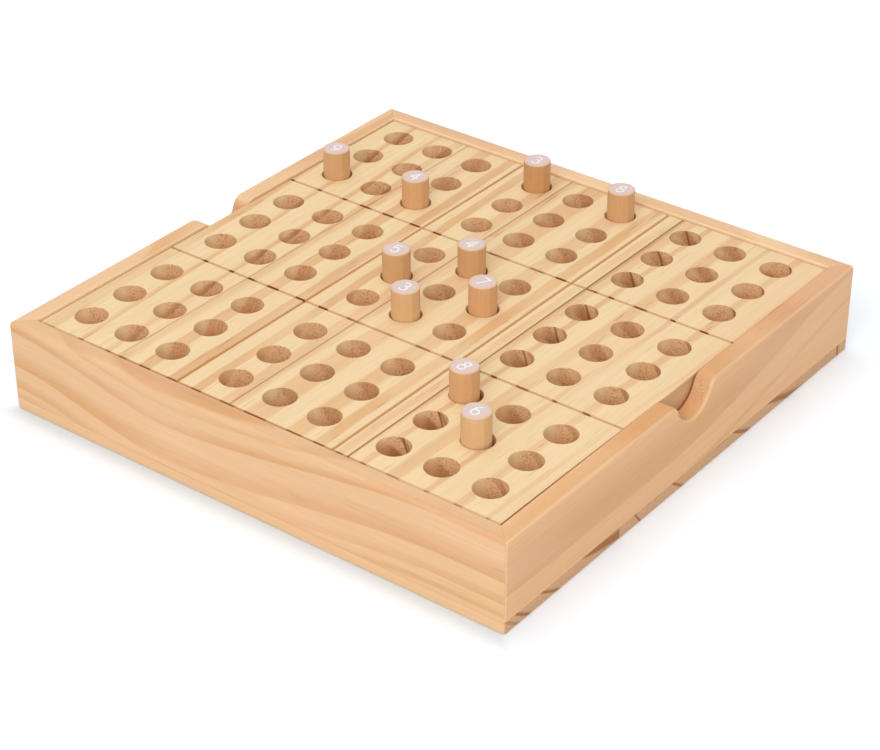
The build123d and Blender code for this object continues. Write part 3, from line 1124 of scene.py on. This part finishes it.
# %% The walls' wood
def wall_wood(node, early, middle, left, right, slant, rings):
    """The material of one wall.

    The ring line climbs away from the middle to each side, over a distance and by a height, and with the
    depth in from the face.
    """
    material, bench, shader, place, normal = start_material(node.replace("_wall", "_pine"))
    x, y, z = bench.split(place)
    sideways = wall_turns[node] % 2
    along, out = (y, x) if sideways else (x, y)
    normal_x, normal_y, normal_z = bench.split(normal)
    facing, ending = (abs(normal_x), abs(normal_y)) if sideways else (abs(normal_y), abs(normal_x))
    depth = box_half / mm - abs(out)
    offset = along - middle
    climb = bench.rise(offset, 0.0, -left[0]) * left[1] + bench.rise(offset, 0.0, right[0]) * right[1]
    waver = bench.wander(place, (0.1, 0.02, 0.1) if sideways else (0.02, 0.1, 0.1), 1.2)
    line_place = z - rim / mm - climb + depth * slant + waver
    late = bands(bench, line_place, wall_low_mark, wall_high_mark, rings)
    if node == "right_wall":
        tan = bench.ramp(y * (mm / (2 * box_half)) + 0.5, rim_tan) * bench.rise(normal_z, 0.3, 0.9)
        late = bench.largest(late, tan)
    mitre = abs(abs(x) - abs(y))
    end = bench.rise(ending, 0.45, 0.9) * bench.rise(mitre, *mitre_clear)
    grain_place = place if sideways else bench.joined(y, x, z)
    wood, rough, height = use(
        bench, pine_finish, place=bench.moved(grain_place, (53, 211 * wall_turns[node], 0)), late=late,
        end=end, early_colour=early, late_colour=(216, 158, 108), end_colour=(226, 176, 128),
        late_end=(196, 132, 82), ducts=0.35, blush=0.5, pits=0.4)
    wood = bench.tinted(wood, bench.rise(mitre, mitre_reach[1], mitre_reach[0]) * 0.25, seam_brown)
    # The eased inner edge gets painted shade on the front and right walls and painted light on the back and
    # left ones.
    strength, tone = lip_light_and_shade[node]
    if tone == lip_painted_shade:
        shown = bench.rise(facing, 0.97, 0.85)
    else:
        shown = bench.rise(z, *(rim / mm - drop for drop in lip_painted_light_drops))
    lip = bench.rise(depth, (wall_thickness - lip_ease) / mm, wall_thickness / mm)
    wood = bench.tinted(wood, lip * shown * strength, tone)
    # A painted highlight along the crest of the right wall's rounded outer edge.
    if node == "right_wall":
        crest_highlight = bench.near(facing, [crest_highlight_slope], crest_highlight_reach) * bench.rise(depth, *crest_highlight_depths)
        wood = bench.tinted(wood, crest_highlight * 0.3, crest_highlight_cream)
    finish_material(bench, shader, wood, 0.05, rough, height)
    return material


for piece, node in zip(walls, wall_turns):
    piece.data.materials.append(wall_wood(node, **wall_rings[node]))
print("wall materials:", [piece.data.materials[0].name for piece in walls])

# %% [markdown]
# The base is cut across its rings, so its left and right edges show end grain. There a ring is an arc
# round the heart of the tree, which lay far above or beside the plank. The ring line is then simply the
# distance from that heart, and the arcs lean, flatten and run into the glue lines as they do in the wood.

# %% The base's and the blocks' wood
base_hearts = [
    dict(heart=(-30, 103), rings=[
        (97, 101.2, 102.8, 103.4, 1.0), (110.4, 111, 111.5, 111.9, 1.0), (116.8, 117.4, 118, 118.4, 1.0),
        (119.7, 120.3, 120.9, 121.3, 0.6)]),
    dict(heart=(17.9, 41), rings=[
        (35.9, 36.3, 36.7, 37.1, 0.6), (45.8, 46.4, 46.9, 47.2, 1.0), (61.2, 61.7, 62.2, 62.5, 1.0)]),
    dict(heart=(98.3, 150), rings=[
        (151.5, 153.2, 154.2, 154.8, 1.0), (161.4, 162.2, 162.9, 163.3, 1.0),
        (168.8, 169.3, 169.7, 170, 0.6)]),
    dict(heart=(193, 2), rings=[(98.9, 99.5, 100.4, 100.8, 1.0), (106.9, 107.6, 108.3, 108.9, 0.5)]),
]
base_tones = [(236, 192, 144), (218, 160, 110), (219, 171, 126), (158, 90, 32)]
block_tones = [(240, 212, 166), (222, 178, 130), (226, 186, 140), (176, 122, 78)]
block_rings = [(40, 43, 44, 45, 0.8), (52, 55, 56, 57, 0.9), (64, 67, 68, 69, 0.8), (90, 93, 94, 95, 0.8)]
ring_margin = 8


def ringed_wood(name, heart, rings, tones):
    """Pine with its grain along x, whose rings are circles round a heart at (y, z) in millimetres.

    The tones are early wood, late wood, and the same two where they are cut across the grain.
    """
    material, bench, shader, place, normal = start_material(name)
    x, y, z = bench.split(place)
    from_y, from_z = y - heart[0], z - heart[1]
    distance = bench.maths("SQRT", from_y * from_y + from_z * from_z)
    line_place = distance + bench.wander(place, (0.01, 0.06, 0.06), 0.5)
    late = bands(bench, line_place, rings[0][0] - ring_margin, rings[-1][3] + ring_margin, rings)
    end = bench.rise(abs(bench.split(normal)[0]), 0.5, 0.9)
    early, late_tone, cut, late_cut = tones
    wood, rough, height = use(
        bench, pine_finish, place=bench.joined(y, x, z), late=late, end=end, early_colour=early,
        late_colour=late_tone, end_colour=cut, late_end=late_cut, ducts=0.7, blush=0.4, pits=0.3)
    finish_material(bench, shader, wood, 0.06, rough, height)
    return material


for number, (piece, values) in enumerate(zip(base_planks, base_hearts)):
    piece.data.materials.append(ringed_wood(f"base_pine_{number + 1}", tones=base_tones, **values))
block_wood = ringed_wood("block_pine", (30, 60), block_rings, block_tones)
for piece in blocks:
    piece.data.materials.append(block_wood)
print("base and block materials:", len(base_planks) + 1)

# %% [markdown]
# The pegs are beech: tan to orange, with straight fine fibres and short dark flecks. Each peg is from
# another stick, so two stored numbers set its tone and its warmth, and a third moves the pattern. The
# printed end is a thin pale ground, cloudy where the wood drinks the ink, and the numeral is white paint.

# %% The pegs' wood and paint
pale_beech, deep_beech, warm_beech = (232, 194, 146), (200, 150, 98), (220, 158, 112)
fleck_brown, head_pink = (176, 120, 74), (236, 200, 176)
print_grey, print_pink, print_tan = (222, 206, 200), (230, 201, 190), (208, 180, 164)
paint_white, paint_grey = (252, 250, 252), (240, 236, 242)


def own_place_of(bench):
    """The place on a peg's own axes, in millimetres, and its stick's tone, warmth and number."""
    stored = [
        bench.node("ShaderNodeAttribute", attribute_name=name).outputs["Vector"]
        for name in ("dowel_place", "dowel_timber")]
    place, timber = (Wire(bench, each) for each in stored)
    return bench.scaled(place, 1000, 1000, 1000), bench.split(timber)


def beech_wood():
    """The bare wood of the pegs, on each peg's own axes."""
    material, bench, shader, _, _ = start_material("peg_beech_wood")
    own_place, (tone, warmth, other) = own_place_of(bench)
    place = bench.moved(own_place, bench.joined(other * 13.7, 0.0, other * 31.3))
    fibre = bench.noise(place, (2.6, 2.6, 0.10), 3.0, 0.6)
    stripe = bench.noise(place, (0.45, 0.45, 0.02), 1.0)
    flecks = bench.rise(bench.noise(place, (5.0, 5.0, 0.7), 0.0), 0.68, 0.78)
    wood = bench.tinted(colour(*pale_beech), tone, deep_beech)
    wood = bench.tinted(wood, warmth * 0.45, warm_beech)
    wood = bench.shaded(wood, (fibre - 0.5) * 0.16 + (stripe - 0.5) * 0.22 + 1.0, 1.5)
    wood = bench.tinted(wood, flecks * 0.22, fleck_brown)
    head = bench.rise(bench.split(own_place)[2], peg_length / mm - 0.5, peg_length / mm - 0.1)
    wood = bench.tinted(wood, head * 0.7, head_pink)
    finish_material(bench, shader, wood, 0.04, fibre * 0.15 + 0.42, fibre)
    return material


def printed_ground():
    """The pale print on a peg's end, with pinkish clouds."""
    material, bench, shader, _, _ = start_material("peg_print")
    place, (_, _, other) = own_place_of(bench)
    shifted = bench.moved(place, bench.joined(other * 9.1, other * 9.1, 0.0))
    cloudy = bench.rise(bench.noise(shifted, 0.45), 0.35, 0.65)
    grain = bench.noise(place, 3.5, 2.0, 0.7)
    ground = bench.tinted(colour(*print_grey), cloudy, print_pink)
    ground = bench.tinted(ground, bench.rise(grain, 0.5, 0.75) * 0.3, print_tan)
    finish_material(bench, shader, ground, 0.02, grain * 0.2 + 0.4, grain)
    return material


def white_paint():
    """The numerals' paint, with the faint unevenness of a screen print."""
    material, bench, shader, place, _ = start_material("numeral_paint")
    grain = bench.noise(place, 2.4)
    white = bench.tinted(colour(*paint_white), grain, paint_grey)
    finish_material(bench, shader, white, 0.01, grain * 0.15 + 0.35, grain)
    return material


peg_finishes = [beech_wood(), printed_ground(), white_paint()]
for piece in standing + spares:
    for finish in peg_finishes:
        piece.data.materials.append(finish)
print("peg finishes:", [finish.name for finish in peg_finishes])

# %% [markdown]
# The studio is a pale floor and soft light. The floor reads as white paper: camera, mirror and glass rays
# see a light of its own added to what it catches, and more of it away from the box, so its shadow stays
# and the light on the wood does not change. Close to the front of the box, where no lamp can make so thin
# a shadow, a contact shadow is painted into the paper's colour, and the glow is taken away there.

# %% The floor
floor_half = 3.0
floor_steps = 13
floor_drop = 0.05 * mm
# The next sizes and colours include a painted contact shadow near the front of the box, as wide as the
# contact reach.
contact_shadow_reach = 8 * mm
near_glow, middle_glow, far_glow = 0.15, 0.15, 0.5
paper_grain, paper_gloss = 900.0, 0.1
paper_pale, paper_bright, paper_painted_shadow = (239, 246, 253), (241, 248, 255), (230, 241, 249)


def background_rays(bench):
    """1 for the rays that see the white background, from the camera, a mirror or glass, and 0 for light."""
    path = bench.wires(bench.node("ShaderNodeLightPath").outputs)
    return bench.largest(path["Is Camera Ray"], path["Is Glossy Ray"], path["Is Transmission Ray"])


def paper_white():
    """The floor's material: a diffuse white with a painted contact shadow by the box's front, and a glow that
    only the background's rays see.
    """
    material, bench, shader, place, _ = new_shader("paper")
    x, y, _ = bench.split(place)
    tooth = bench.noise(place, paper_grain)
    distance = bench.largest(abs(x), abs(y))
    before = y * -1.0 - abs(x)
    # Painted contact shadow: the paper is darker and has no glow close to the box's front.
    painted_contact_shadow = bench.rise(distance, box_half + contact_shadow_reach, box_half)
    painted_contact_shadow = painted_contact_shadow * bench.rise(before, -contact_shadow_reach / 2, contact_shadow_reach / 2)
    white = bench.tinted(colour(*paper_pale), tooth, paper_bright)
    bench.put(shader.inputs["Base Color"], bench.tinted(white, painted_contact_shadow, paper_painted_shadow))
    bench.put(shader.inputs["Roughness"], tooth * 0.1 + 0.85)
    shader.inputs["Specular IOR Level"].default_value = paper_gloss
    strength = bench.rise(distance, box_half, 2 * box_half) * middle_glow + near_glow
    strength = bench.rise(distance, 2 * box_half, 20 * box_half) * far_glow + strength
    strength = strength * (1.0 - painted_contact_shadow) * background_rays(bench)
    glow = bench.value("ShaderNodeEmission", {"Color": (1, 1, 1, 1), "Strength": strength})
    both = bench.value("ShaderNodeAddShader", {0: Wire(bench, shader.outputs[0]), 1: glow})
    bench.put(material.node_tree.nodes["Material Output"].inputs["Surface"], both)
    return material


def add_floor():
    """A flat grid just under the box's foot."""
    side = np.linspace(-floor_half, floor_half, floor_steps)
    places = points(side[:, None], side, -floor_drop).reshape(-1, 3)
    mesh = bpy.data.meshes.new("floor")
    mesh.from_pydata(places.tolist(), [], grid_faces(floor_steps, floor_steps)[:, ::-1].tolist())
    mesh.materials.append(paper_white())
    floor = add("floor", mesh)
    return floor


print("floor:", add_floor().name)

# %% [markdown]
# A large soft box stands a little to the left of the camera, so the front wall is brighter than the right
# one. A second one hangs almost overhead, and the world fills in the rest evenly. Both lamps are wide for
# their distance, so the shadows are soft.

# %% The world and the lamps
world_light = 0.6


def soft_box(name, azimuth, elevation, distance, size, power):
    """A square area lamp that faces the box from a direction. Lengths are in metres, the power in watts."""
    lamp = bpy.data.lights.new(name, "AREA")
    lamp.shape, lamp.size, lamp.energy = "SQUARE", size, power
    holder = add(name, lamp)
    holder.location = distance * direction(azimuth, elevation)
    holder.rotation_euler = holder.location.to_track_quat("Z", "Y").to_euler()


soft_box("key", azimuth=22, elevation=37, distance=1.6, size=1.0, power=10.2)
soft_box("top", azimuth=240, elevation=77, distance=1.6, size=0.9, power=4.6)
world = bpy.data.worlds.new("studio")
bpy.context.scene.world = world
world.use_nodes = True
sky = world.node_tree.nodes["Background"]
world_bench = Bench(world.node_tree)
sky_strength = background_rays(world_bench) * (1 - world_light) + world_light
world_bench.put(sky.inputs["Strength"], sky_strength)
sky.inputs["Color"].default_value = (1, 1, 1, 1)
bpy.context.scene.view_settings.view_transform = "Standard"

# %% [markdown]
